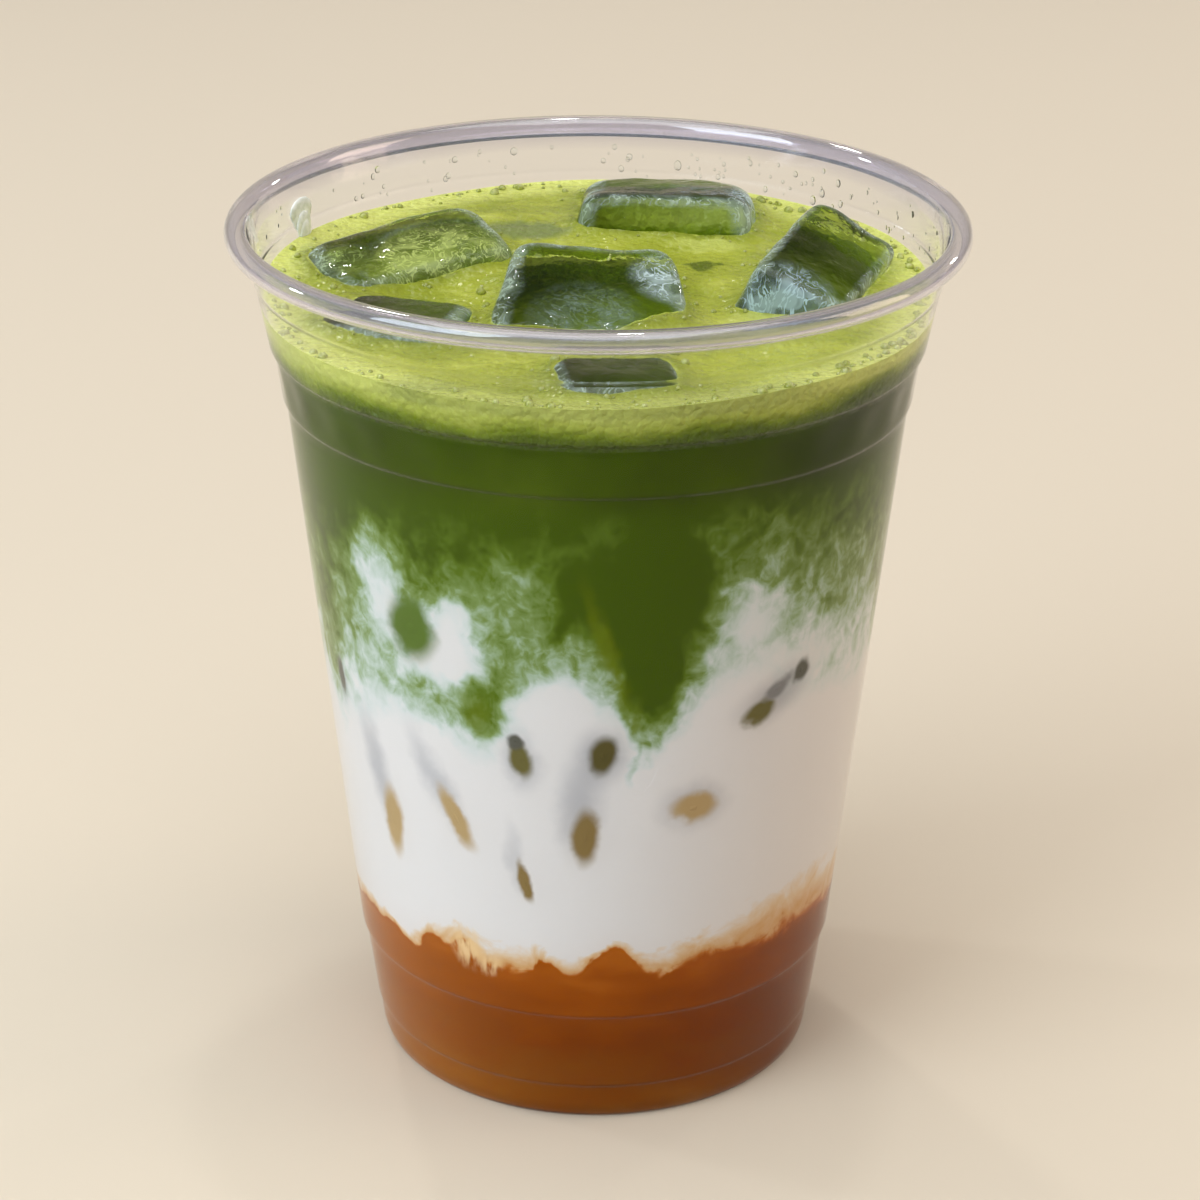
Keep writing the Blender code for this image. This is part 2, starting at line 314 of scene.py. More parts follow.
class Finish:
    """A material in the making, which starts as one Principled shader."""

    def __init__(self, name, **plain):
        self.material = bpy.data.materials.new(name)
        self.material.use_nodes = True
        self.tree = self.material.node_tree
        self.shader = self.tree.nodes["Principled BSDF"]
        self.output = self.tree.nodes["Material Output"]
        for label, value in plain.items():
            self.shader.inputs[label.replace("_", " ")].default_value = value

    def node(self, kind, settings, inputs, output=0):
        node = self.tree.nodes.new("ShaderNode" + kind)
        for label, value in settings.items():
            if label == "stops":
                ramp = node.color_ramp
                while len(ramp.elements) < len(value):
                    ramp.elements.new(0.5)
                for element, (place, colour) in zip(ramp.elements, value):
                    element.position = place
                    element.color = colour
            elif label == "points":
                curve = node.mapping.curves[0]
                while len(curve.points) < len(value):
                    curve.points.new(0.5, 0.5)
                for point, place in zip(curve.points, value):
                    point.location = place
                node.mapping.update()
            else:
                setattr(node, label, value)
        for label, value in inputs.items() if isinstance(inputs, dict) else enumerate(inputs):
            if isinstance(value, Dye):
                self.tree.links.new(value.socket, node.inputs[label])
            else:
                node.inputs[label].default_value = value
        return Dye(self, node.outputs[output])

    def feed(self, label, dye):
        self.tree.links.new(dye.socket, self.shader.inputs[label])

    def place(self):
        """Object coordinates in millimetres."""
        position = self.node("TexCoord", {}, {}, output="Object")
        return self.node("VectorMath", {"operation": "SCALE"}, {0: position, "Scale": 1000.0})

    def cloud(self, place, size, detail=2, stretch=(1, 1, 1), roughness=0.5, distortion=0):
        """Noise whose blobs are about size millimetres across. stretch makes them longer along an axis."""
        scaled = place * tuple(1 / (size * factor) for factor in stretch)
        shape = {"Scale": 1, "Detail": detail, "Roughness": roughness, "Distortion": distortion}
        return self.node("TexNoise", {"noise_dimensions": "3D"}, {"Vector": scaled, **shape})

    def flat(self, across, up):
        """A flat place from two numbers."""
        return self.node("CombineXYZ", {}, [across, up])

    def off_patch(self, place, middle, sizes, lean=0, measure="LENGTH"):
        """How far a flat place is from an oval patch's middle, with 1 at its edge. DOT_PRODUCT squares it."""
        turn = (0, 0, -math.radians(lean))
        shape = {"Location": (*middle, 0), "Rotation": turn, "Scale": (*sizes, 1)}
        off = self.node("Mapping", {"vector_type": "TEXTURE"}, {"Vector": place, **shape})
        return self.node("VectorMath", {"operation": measure}, [off, off], output=1)

    def stored(self, name, output):
        """What the mesh keeps at its points under a name: output 0 is a colour, 1 a vector and 2 a number."""
        return self.node("Attribute", {"attribute_name": name}, {}, output=output)

    def bump(self, strength, distance, height):
        relief = {"Strength": strength, "Distance": distance, "Height": height}
        self.feed("Normal", self.node("Bump", {}, relief))

    def lets_lamps_through(self, tint, haze=None, haze_colour=None):
        """Lamps reach what is behind the clear shell, as they do behind a real thin one. haze says where the
        shell is cloudy, from 0 to 1; on the ice it also says where highlights are painted."""
        clear = self.node("BsdfTransparent", {}, {"Color": tint})
        lamp = self.node("LightPath", {}, {}, output="Is Shadow Ray")
        shell = Dye(self, self.shader.outputs[0])
        if haze is not None:
            cloudy = self.node("BsdfDiffuse", {}, {"Color": haze_colour})
            shell = self.node("MixShader", {}, {0: haze, 1: shell, 2: cloudy})
        both = self.node("MixShader", {}, {0: lamp, 1: shell, 2: clear})
        self.tree.links.new(both.socket, self.output.inputs["Surface"])


def paint(red, green, blue):
    """A colour from its 0 to 255 values."""
    parts = [value / 255 for value in (red, green, blue)]
    linear = [part / 12.92 if part <= 0.04045 else ((part + 0.055) / 1.055) ** 2.4 for part in parts]
    return (*linear, 1)


def show(piece, *finishes):
    """Gives a finished piece its materials, and hangs it on the drink's one body."""
    piece.data.materials.clear()
    for finish in finishes:
        piece.data.materials.append(finish.material)
    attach(piece, "root")


plastic = Finish(
    "clear_plastic",
    Roughness=0.03,
    IOR=1.45,
    Transmission_Weight=1,
    Specular_Tint=(0.18, 0.18, 0.18, 1),
    Coat_Roughness=0.03,
    Coat_IOR=1.8,
)
plastic.shader.distribution = "GGX"
RIM_HAZE = 0.05
WALL_HAZE = 0.001
RIM_TINT = paint(230, 226, 236)
WALL_TINT = paint(252, 253, 254)
LEDGE_BLUR = 0.14
SCUFF_BLUR = 0.06
LEDGE_REACH = 0.6 * MM
RIM_START = 115.6 * MM
RIM_FULL = 117.6 * MM
SCUFF_SIZE = 9 * MM
# How much of the rim, of a ledge and of the scuffs there is at each point of the sheet.
wear = cup.data.color_attributes.new("wear", "FLOAT_COLOR", "POINT")
for vert in cup.data.vertices:
    on_rim = min(1, max(0, (vert.co.z - RIM_START) / (RIM_FULL - RIM_START)))
    off_ledge = min(abs(vert.co.z - height) for height, _, _ in LEDGES)
    scuffed = 0.5 + 0.5 * noise.noise(vert.co / SCUFF_SIZE)
    wear.data[vert.index].color = (on_rim, max(0, 1 - off_ledge / LEDGE_REACH), scuffed, 1)
all_wear = plastic.stored("wear", 1)
on_rim, on_ledge, scuffed = [plastic.node("SeparateXYZ", {}, [all_wear], output=index) for index in range(3)]
plastic.feed("Roughness", on_ledge * LEDGE_BLUR + scuffed * SCUFF_BLUR)
plastic.feed("Base Color", on_rim.blend(WALL_TINT, RIM_TINT))
plastic.feed("Coat Weight", on_rim)
haze = on_rim * RIM_HAZE + WALL_HAZE
plastic.lets_lamps_through((0.95, 0.96, 0.96, 1), haze, (0.80, 0.82, 0.88, 1))
show(cup, plastic)
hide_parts("cup")


# The syrup. The bottom layer is a thick amber-brown syrup. It was poured first, so the milk above has dragged its
# surface up into small crests, with a cream-coloured haze over them.
SYRUP_DEPTH = 25.4 * MM
SYRUP_CREST = 1.3 * MM
SYRUP_CRESTS = 16
SYRUP_FIRST_CREST = math.radians(-35)
SYRUP_LEVEL_BELOW = 19.5 * MM
SYRUP_UNDER = (
    (0, 3.55), (12, 3.55), (22.8, 3.55), (24.4, 3.12), (25.7, 1.62), (26.3, 0.72), (26.7, 0.52), (28.7, 0.52),
    (29.65, 0.92),
)
WET_DEPTH = 0.1 * MM
# A degree round the cup counts as this many millimetres of its unrolled wall.
WALL_REACH = 0.63
DRINK_SIDES = 192
DRINK_SHARES = (0, 0.15, 0.3, 0.45, 0.6, 0.7, 0.78, 0.85, 0.9, 0.94, 0.97, 0.985)
OVERLAP = 0.05 * MM
# Where the syrup's haze starts and ends round the cup: angle in degrees and height in millimetres.
AMBER_LINE = (
    (-180, 25.5), (-160, 26.5), (-140, 24.8), (-120, 26.8), (-100, 25), (-90, 26), (-79, 24.5), (-64, 25),
    (-54, 24.7), (-47, 23.6), (-41, 26), (-36, 26.4), (-31.5, 28.2), (-28, 25.2), (-21, 24.3), (-15, 25.2),
    (-11, 27.4), (-5, 25.6), (0, 27.4), (4, 29.2), (7, 28.4), (10, 26), (13, 25), (24, 26.2), (41, 25.4),
    (55, 25.7), (71, 24.3), (90, 26.2), (105, 24.6), (120, 27), (140, 24.6), (160, 26), (180, 25.5),
)
CREAM_LINE = (
    (-180, 29.5), (-140, 28.5), (-100, 29.5), (-79, 26.4), (-64, 26.8), (-47, 26.4), (-38, 29), (-31.5, 30.6),
    (-26, 29), (-11, 29), (-3, 28.2), (5, 30.4), (13, 28.4), (24, 30.2), (36, 32.4), (50, 33.8), (60, 34.2),
    (71, 32), (100, 29.5), (140, 30.6), (180, 29.5),
)
# Bands have their place from 0 to 1, and their colour.
AMBER_BANDS = (
    (0, 152, 92, 26), (0.22, 138, 74, 10), (0.50, 134, 62, 0), (0.80, 158, 78, 2), (1, 182, 100, 18),
)
# The syrup is painted lighter on its left, where the soft boxes' light falls, and darker on its right, as painted
# shade.
AMBER_IN_LIGHT = paint(182, 108, 30)
AMBER_IN_SHADE = paint(112, 50, 0)
# Pale curdled patches in the syrup's top: angle, height, half width, half height, and lean.
CURDS = (
    (-30, 26.4, 2.6, 3.4, -28), (-24.5, 24.6, 2, 1.8, -40), (118, 26, 2.6, 3.2, 20),
    (-150, 25.6, 2.6, 3.2, -20),
)
CURD = paint(232, 200, 150)
MILK_WHITE = (227, 222, 220)
HAZE_BANDS = (
    (0, 164, 80, 8), (0.10, 190, 116, 46), (0.24, 212, 166, 112), (0.60, 222, 196, 162), (1, *MILK_WHITE),
)


def level_radius(height):
    """Where the drink wets the cup: just inside the sheet, so that no gap of air shows between them."""
    return wall_radius(height) - SHEET + WET_DEPTH


def wet_radius(height, angle):
    """The same, with the ribs pressed in."""
    return level_radius(height) - ribbed(Vector((*around(angle, 1), height)))


def syrup_lift(angle, share):
    crests = math.cos(SYRUP_CRESTS * (angle - SYRUP_FIRST_CREST)) * (0.7 + 0.3 * math.cos(5 * angle))
    return SYRUP_CREST * crests * share**4


def no_lift(angle, share):
    return 0


def poured_layer(name, outline, low, high, lift_low, lift_high):
    """Turns a layer as a level drum, and lifts its points to their place in the drink. The lift goes over from
    the lower surface's to the upper one's between the heights low and high."""
    layer = turned(name, outline, DRINK_SIDES)
    for vert in layer.data.vertices:
        angle = angle_of(vert.co)
        share = math.hypot(vert.co.x, vert.co.y) / level_radius(vert.co.z)
        change = min(1, max(0, (vert.co.z - low) / (high - low)))
        near = min(1, share)
        height = vert.co.z + (1 - change) * lift_low(angle, near) + change * lift_high(angle, near)
        vert.co = (*around(angle, share * wet_radius(height, angle)), height)
    layer.data.update()
    bpy.ops.object.shade_smooth_by_angle(angle=math.radians(40))
    return layer


def drum_side(low, high, step):
    """Points up a layer's side, with those on the ledges among them."""
    count = max(2, round((high - low) / step))
    heights = {low + (high - low) * index / count for index in range(count + 1)}
    heights |= {height for height in side_heights if low < height < high}
    return [(level_radius(height), height) for height in sorted(heights)]


def drum_end(height, shares):
    """Points along a layer's level top or bottom."""
    return [(share * level_radius(height), height) for share in shares]


def drum(low, high, step, top_shares=DRINK_SHARES):
    """A layer's outline, from the middle of its bottom to the middle of its top."""
    return drum_end(low, DRINK_SHARES) + drum_side(low, high, step) + drum_end(high, top_shares[::-1])


class Swirls:
    """The drink's colours by place, the same in every layer, so that they run on from one to the next."""

    def __init__(self, finish):
        self.finish = finish
        self.place = finish.place()
        self.across, self.along, self.height = [
            finish.node("SeparateXYZ", {}, [self.place], output=index) for index in range(3)
        ]
        turn = self.across.work("ARCTAN2", self.across, self.along * -1)
        self.angle = turn * math.degrees(1)
        square = self.across * self.across + self.along * self.along
        self.radius = square.work("POWER", square, 0.5)

    def line(self, points):
        """A height in millimetres that changes round the cup as the points say."""
        shares = [((angle + 180) / 360, height / 120) for angle, height in points]
        turn = (self.angle + 180) / 360
        return self.finish.node("FloatCurve", {"points": shares}, [1, turn]) * 120

    def wall(self, bend):
        """The place on the unrolled wall in millimetres, bent to make ragged edges."""
        return self.finish.flat(self.angle * WALL_REACH + bend, self.height + bend)

    def off_window(self, wall, patch):
        """0 in a patch's middle on the wall, and 1 at its edge. A patch has its angle and height, its half
        width and half height in millimetres, and its lean."""
        angle, height, half_width, half_height, lean = patch[:5]
        wider = WALL_REACH / math.radians(wall_radius(height * MM) / MM)
        middle = (angle * WALL_REACH, height)
        return self.finish.off_patch(wall, middle, (half_width * wider, half_height), lean)

    def ramp(self, number, bands):
        stops = [(place, paint(*colour)) for place, *colour in bands]
        return self.finish.node("ValToRGB", {"stops": stops}, [number])

    def wisps(self, size, detail=4, stretch=(1, 1, 1), distortion=0, shift=0):
        """Noise round 0, mostly between -1 and 1."""
        place = self.place + (shift, shift, shift)
        return (self.finish.cloud(place, size, detail, stretch, 0.55, distortion) - 0.5) * 4

    def amber(self):
        """The syrup's colour, and the milk's over it. Above the haze it is plain milk."""
        ragged = self.wisps(5, 4, (1, 1, 0.8), 0.6) * 1.3
        over = self.height + ragged - self.line(AMBER_LINE)
        streaks = self.wisps(14, 3, (1, 1, 0.35), 0, 40)
        body = self.ramp(self.height / 30 + 0.04 + streaks * 0.2, AMBER_BANDS)
        # Painted light on the left side of the syrup and painted shade on its right side, as the light falls; the
        # syrup itself is the same all round.
        thin = self.angle.between(-5, -65) * self.angle.between(-150, -100)
        amber_shaded_side = self.angle.between(20, 60) * self.angle.between(140, 100)
        body = (thin * 0.5).blend(body, AMBER_IN_LIGHT)
        body = (amber_shaded_side * 0.6).blend(body, AMBER_IN_SHADE)
        depth = self.line(CREAM_LINE) - self.line(AMBER_LINE)
        curdled = self.wisps(4.5, 4, (1, 1, 0.8), 1, 70) * 0.22
        haze = self.ramp((over + 0.4) / depth + curdled * over.between(-0.5, 1.5), HAZE_BANDS)
        colour = over.between(-1.2, 0.2).blend(body, haze)
        threads = self.wisps(2.2, 2, (0.5, 0.5, 1.6), 0, 37).between(-0.7, 0.4)
        wall = self.wall(ragged * 0.5)
        for curd in CURDS:
            colour = (self.off_window(wall, curd).between(1.25, 0.3) * threads).blend(colour, CURD)
        return colour


syrup_outline = from_mm(SYRUP_UNDER)
syrup_outline += drum_side(HEEL[0], SYRUP_DEPTH, 0.8 * MM)
syrup_outline += drum_end(SYRUP_DEPTH, DRINK_SHARES[::-1])
syrup = poured_layer("syrup_layer", syrup_outline, SYRUP_LEVEL_BELOW, SYRUP_DEPTH, no_lift, syrup_lift)
caramel = Finish("amber_syrup", Roughness=0.5, IOR=1.05)
caramel.feed("Base Color", Swirls(caramel).amber())
show(syrup, caramel)
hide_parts("syrup")


# The milk. It was poured over the syrup and is white and opaque. Matcha has sunk into its top in tongues and clouds,
# and ice that is wholly sunk in it shows as tan and dark windows where it touches the cup.
MILK_TOP = 80 * MM
HAZE_END = (35, 36.8)
# Each tongue: its angle, how far up it moves the milk's top in millimetres, and its half width in degrees.
TONGUES = (
    (9, -27, 9), (-24, -14, 8), (-44, 4, 9), (30, 4, 9), (-78, -12, 10), (82, -7, 12), (128, -20, 10),
    (176, -9, 16), (-132, -23, 12),
)
MATCHA_LINE = (
    (-180, 74), (-160, 78), (-140, 72), (-125, 70), (-105, 77), (-90, 73), (-75, 69), (-60, 68), (-45, 73),
    (-30, 75), (-15, 75), (0, 76), (12, 76), (25, 80), (40, 77), (57, 75), (70, 73), (90, 76), (110, 75),
    (128, 70), (150, 77), (170, 75), (180, 74),
)
# Each cloud: its angle and height, its half width in degrees and half height in millimetres, and how many
# millimetres of matcha it pushes down, or of milk up where that is below 0.
CLOUDS = (
    (13.5, 77, 9, 13, 18), (2, 79, 9, 8.5, 9), (-2, 82, 9, 6, 6), (10.4, 67.5, 4.9, 7.6, 13),
    (7.8, 60.5, 2.2, 5.5, 7), (6.8, 53, 1.3, 6, 8), (-45, 79.5, 5.5, 6.5, -16), (-27.5, 75, 4.5, 6, -13),
    (-34, 68.5, 7, 3, -13), (-31, 64.3, 12, 4, 11), (-20.5, 65.3, 5.6, 4.6, 9), (-26, 58, 6, 3.6, 7),
    (-12, 80, 8, 7, -2), (-15, 73, 6, 6, 5), (-7, 66.5, 7, 4.2, -8), (31.5, 78, 6.5, 5.5, -8),
    (46, 70.5, 9, 3.5, -5), (-67, 65, 6, 11, 9), (84, 70, 10, 9, 14), (104, 80, 9, 6, -12),
    (128, 63, 9, 12, 18), (150, 81, 8, 6, -14), (168, 68, 9, 8, 13), (-164, 80, 9, 6, -12),
    (-134, 62, 10, 13, 18), (-110, 79, 9, 6, -13), (-88, 70, 8, 8, 12),
)
MIX_BANDS = (
    (0, *MILK_WHITE), (0.12, 217, 219, 217), (0.26, 194, 205, 194), (0.42, 164, 182, 150),
    (0.58, 130, 150, 86), (0.78, 98, 120, 34), (1, 72, 92, 8),
)
# Yellow-green streaks along the tongues' edges: angle, height, half width, half height, lean, and strength.
STREAKS = (
    (2.4, 74, 1.5, 11, -16, 0.6), (8, 60, 1, 7, 2, 0.5), (-24, 63.5, 2.4, 3.6, 20, 0.4),
    (124, 66, 1.5, 9, 10, 0.6), (-130, 66, 1.5, 9, -12, 0.6),
)
STREAK_GREEN = paint(112, 124, 8)
TAN = paint(186, 158, 112)
TAN_DEEP = paint(140, 116, 70)
OLIVE = paint(112, 104, 58)
OLIVE_DEEP = paint(94, 84, 44)
SHADOW_GREY = paint(96, 94, 84)
SHADE_DEEP = paint(138, 136, 136)
GREEN_WINDOW = paint(96, 118, 46)
SHADE = paint(150, 150, 158)
# Each window: its angle and height, its half width and half height in millimetres, its lean, and its colour.
WINDOWS = (
    (-49, 42.6, 1.9, 5, 0, TAN), (-30.5, 46.8, 1.4, 4.6, -28, TAN), (-15, 38.8, 0.9, 3.4, -10, TAN_DEEP),
    (-1.9, 46.6, 1.8, 4.2, 4, TAN_DEEP), (1.4, 59, 1.8, 2.8, 10, OLIVE_DEEP),
    (-15, 57.8, 1.5, 2.7, -8, OLIVE), (-15.9, 60.4, 1.2, 1.1, 0, SHADOW_GREY), (20.5, 50, 3.1, 2.1, 0, TAN),
    (34, 62.4, 2.5, 1.7, -24, OLIVE), (38.2, 65.4, 2.6, 1.2, -35, SHADE_DEEP),
    (44.2, 66.8, 1.3, 1.8, 14, SHADOW_GREY), (-37.6, 74, 3.6, 4.4, 0, GREEN_WINDOW),
    (-64.5, 60.5, 1, 2.6, 0, SHADOW_GREY), (112, 52, 2.4, 5, 14, TAN), (150, 45, 1.8, 4.6, -12, TAN_DEEP),
    (-118, 48, 3, 2.4, 8, TAN), (-152, 58, 1.8, 4.2, 18, OLIVE),
)
# The shade of ice just under the milk's surface: angle, height, half width, half height, lean, and strength.
SHADES = (
    (-52.5, 49.5, 2.8, 9.5, -12, 0.5), (-34.5, 51.5, 2.6, 9, -27, 0.45), (-17, 42, 1.5, 6, -8, 0.3),
    (-3, 52, 3.6, 9, 6, 0.5), (1.5, 59, 3.8, 4.4, 0, 0.6), (-15, 57.5, 2.9, 4.8, 0, 0.55),
    (20.5, 50.4, 5.2, 3.8, 0, 0.5), (38, 64.4, 6.6, 3.6, -22, 0.55), (-64.5, 60, 1.8, 4.2, 0, 0.4),
    (112, 52, 4.4, 8, 14, 0.5), (150, 45.5, 3.6, 7.6, -12, 0.5), (-118, 48.4, 5, 4.2, 8, 0.5),
    (-152, 58, 3.4, 7, 18, 0.5),
)


def milk_lift(angle, share):
    height = 0
    for middle, rise, half_width in TONGUES:
        off = (math.degrees(angle) - middle + 180) % 360 - 180
        height += rise * MM * math.exp(-((off / half_width) ** 2)) * share**3
    return height


def reaching(patches, lowest):
    """The patches with some part above the height lowest."""
    return [patch for patch in patches if patch[1] + patch[3] > lowest]


def swirled_milk(swirls, lowest=0):
    """Milk and matcha where they meet, with the windows over them that reach above the height lowest."""
    finish = swirls.finish
    middling = swirls.wisps(5.2, 4, (1, 1, 1.1), 0.9, 57)
    fine = swirls.wisps(2, 3, (1, 1, 1.2), 0.8, 29)
    angle = swirls.angle + swirls.wisps(8, 3, (1, 1, 1.1), 0, 91) * 3.6
    height = swirls.height + swirls.wisps(8, 3, (1, 1, 1.1), 0, 13) * 2.6
    over = height - swirls.line(MATCHA_LINE)
    warped = finish.flat(angle, height)
    for *middle, half_width, half_height, push in reaching(CLOUDS, lowest):
        off = finish.off_patch(warped, middle, (half_width, half_height), measure="DOT_PRODUCT")
        over = over + off.between(1.9, 0, push)
    near = over.between(-15, -4) * over.between(24, 9)
    mixed = over / 31 + 0.45 + (middling * 0.25 + fine * 0.16) * near
    colour = swirls.ramp(mixed, MIX_BANDS)
    ragged = swirls.wisps(4, 3, (1, 1, 1), 0, 23) * 0.7
    wall = swirls.wall(ragged)
    narrow_wall = swirls.wall(ragged * 0.6)
    green = mixed.between(0.35, 0.7)
    for streak in reaching(STREAKS, lowest):
        streaked = swirls.off_window(wall, streak).between(1.3, 0.2, streak[5]) * green
        colour = streaked.blend(colour, STREAK_GREEN)
    for shade in reaching(SHADES, lowest):
        colour = swirls.off_window(wall, shade).between(1.3, 0.1, shade[5]).blend(colour, SHADE)
    for window in reaching(WINDOWS, lowest):
        bent = narrow_wall if window[2] < 2 else wall
        colour = swirls.off_window(bent, window).between(1.35, 0.6).blend(colour, window[5])
    return colour


def by_height(piece, low, high):
    """Gives a piece's faces their finish: the first up to the height low, and the last from high on."""
    for face in piece.data.polygons:
        heights = [piece.data.vertices[index].co.z / MM for index in face.vertices]
        face.material_index = (max(heights) > low) + (min(heights) > high)


milk_outline = drum(SYRUP_DEPTH - OVERLAP, MILK_TOP, 1 * MM)
milk_layer = poured_layer("milk_layer", milk_outline, SYRUP_DEPTH, MILK_TOP, syrup_lift, milk_lift)
milk = Finish("milk", Roughness=0.5, IOR=1.05)
milk_swirls = Swirls(milk)
low_milk = milk_swirls.height.between(*HAZE_END)
milk.feed("Base Color", low_milk.blend(milk_swirls.amber(), swirled_milk(milk_swirls)))
pure_milk = Finish("milk_and_matcha", Roughness=0.5, IOR=1.05)
pure_milk.feed("Base Color", swirled_milk(Swirls(pure_milk)))
show(milk_layer, caramel, milk, pure_milk)
by_height(milk_layer, *HAZE_END)
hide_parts("milk")


# The sunk ice. Blocks that hang in the milk touch the cup with one melted face each, which shows in a window's
# middle. The window's soft edge is in the milk's own colours.
SUNK_DEPTH = 6 * MM
SUNK_CUTS = 13
SUNK_POWER = 2.6
SUNK_SPREAD = 0.62
POKE = 0.05 * MM


def sunk_block(name, window):
    """A rounded block that is bent along the cup, with its outer side in the window's middle."""
    angle, height, half_width, half_height, lean, colour = window
    block = start_shape(bpy.ops.mesh.primitive_cube_add, size=2)
    bpy.ops.mesh.subdivide(number_cuts=SUNK_CUTS)
    end_shape(block, name)
    reach = wall_radius(height * MM)
    cosine, sine = math.cos(math.radians(lean)), math.sin(math.radians(lean))
    for vert in block.data.vertices:
        spread = sum(abs(value) ** SUNK_POWER for value in vert.co) ** (1 / SUNK_POWER)
        right, inward, up = vert.co / spread
        right *= half_width * SUNK_SPREAD * MM
        up *= half_height * SUNK_SPREAD * MM
        turn = math.radians(angle) + (right * cosine + up * sine) / reach
        rise = height * MM - right * sine + up * cosine
        radius = wet_radius(rise, turn) + POKE - SUNK_DEPTH * (1 + inward) / 2
        vert.co = (*around(turn, radius), rise)
    bpy.ops.object.mode_set(mode="EDIT")
    bpy.ops.mesh.select_all(action="SELECT")
    bpy.ops.mesh.normals_make_consistent(inside=False)
    bpy.ops.object.mode_set(mode="OBJECT")
    bpy.ops.object.shade_smooth()
    tone = block.data.color_attributes.new("tone", "FLOAT_COLOR", "POINT")
    for point in tone.data:
        point.color = colour
    return block


sunk_ice = Finish("sunk_ice", Roughness=0.5, IOR=1.05)
sunk_ice.feed("Base Color", sunk_ice.stored("tone", 0))
for number, window in enumerate(WINDOWS, start=1):
    sunk = sunk_block(f"sunk_ice_{number}", window)
    show(sunk, sunk_ice)


# The ice. Clear blocks from an ice maker have melted round at the corners. They float high in the froth, each at its
# own tilt, and the liquid runs up their sides.
ICE_BLOCKS = {
    "ice_back": ((26, 14, 17.5), (9.4, 29.2, 107.6), (82, 0, -5), 0.30, 0.12),
    "ice_middle": ((25.5, 22, 18), (-0.8, -5.4, 103.8), (21, 2, 1), 0.30, 0.18),
    "ice_right": ((13.5, 25, 20), (26.9, 0.9, 106.2), (5, 25, -20), 0.24, 0),
    "ice_left": ((26.5, 16.5, 12.5), (-25.8, 10.9, 106.5), (8, -6, 26), 0.34, 0),
    "ice_left_front": ((20.5, 14.5, 12.5), (-26.6, -11.4, 104.1), (2, -2, -18), 0.40, 0),
    "ice_front": ((17, 13, 15), (2.2, -31.6, 102.4), (2, 3, 8), 0.42, 0),
}
ICE_CUTS = 27
HOLLOW_CUTS = 15
ICE_WAVE = 0.06
ICE_DIMPLE = 0.22 * MM
ICE_DIMPLE_SIZE = 4 * MM
ICE_DIP = 0.1 * MM


def ice_block(name, size, middle, turn, melt, narrowing, swell=0, cuts=ICE_CUTS):
    """A cube with rounded corners and wavy, dimpled faces. swell moves its whole surface out."""
    block = start_shape(bpy.ops.mesh.primitive_cube_add, size=2)
    bpy.ops.mesh.subdivide(number_cuts=cuts)
    end_shape(block, name)
    power = 2 + 1 / melt**1.4
    half = Vector(size) * MM / 2
    # The edge number marks the blocks' edges, where the ice is painted pale: partly frost, partly painted highlight.
    edge = block.data.attributes.new("edge", "FLOAT", "POINT")
    for vert in block.data.vertices:
        place = vert.co.copy()
        edge.data[vert.index].value = sorted(abs(value) for value in place)[1]
        spread = sum(abs(value) ** power for value in place) ** (1 / power)
        wave = noise.noise(place * 0.9 + half * 400)
        vert.co = place / spread * (1 + ICE_WAVE * wave) * half
        vert.co.x *= 1 - narrowing * place.y / spread
    block.data.update()
    outward = [vert.normal.copy() for vert in block.data.vertices]
    tilt = Euler([math.radians(value) for value in turn]).to_matrix()
    for vert, normal in zip(block.data.vertices, outward):
        dimple = noise.noise(vert.co / ICE_DIMPLE_SIZE + half * 900)
        vert.co += normal * (ICE_DIMPLE * dimple + swell)
        vert.co = tilt @ vert.co + Vector(middle) * MM
    block.data.update()
    bpy.ops.object.shade_smooth()
    return block


# Where the ice is cloudy or froth clings to it: the middle and the reach in millimetres, how cloudy it
# is, and its colour.
CLOUDY_FACES = (
    ((9.5, -3.5, 109.5), 7.5, 0.85, 196, 214, 216),
    ((-13, -7, 110), 5, 0.6, 160, 180, 156),
    ((21.5, 25, 112), 6, 0.75, 200, 218, 222),
    ((24, -11.5, 109.6), 8, 0.95, 186, 210, 220),
    ((-20, 4, 112), 13, 0.85, 172, 184, 106),
    ((-34, 6, 110), 5, 0.6, 150, 168, 96),
    ((-1.5, -14.5, 110), 8.5, 0.4, 128, 146, 138),
)
# The pale colour on the ice's edges: partly frost, partly a painted highlight.
EDGE_FROST_AND_HIGHLIGHT = paint(178, 194, 176)
BACK_TINT = paint(120, 148, 30)
CLEAR_TINT = paint(246, 251, 248)

ice = Finish("clear_ice", Roughness=0.02, IOR=1.31, Transmission_Weight=1)
ice_place = ice.place()
melted = ice.cloud(ice_place, 3.8, detail=2, distortion=0.8)
ripple = ice.cloud(ice_place, 1.6, detail=2)
# Thin squiggly lines in the cloudy parts of the ice are painted highlights, standing in for wavy reflections on it.
squiggle = (ice.cloud(ice_place, 3, detail=2, stretch=(1, 1, 1.6), distortion=2.4) - 0.5).off_zero()
squiggle_highlight_lines = squiggle.between(0.045, 0)
cloudy = None
frost_and_highlight_colour = paint(*CLOUDY_FACES[0][3:])
for middle, reach, strength, *colour in CLOUDY_FACES:
    away = ice.node("VectorMath", {"operation": "DISTANCE"}, [ice_place, middle], output=1)
    near = away.between(reach, 0.45 * reach)
    cloudy = near * strength if cloudy is None else cloudy.most(near * strength)
    frost_and_highlight_colour = near.between(0, 0.3).blend(frost_and_highlight_colour, paint(*colour))
frost_and_squiggle_highlights = melted.between(0.4, 0.62) * 0.5 + squiggle_highlight_lines * 0.9 + 0.18
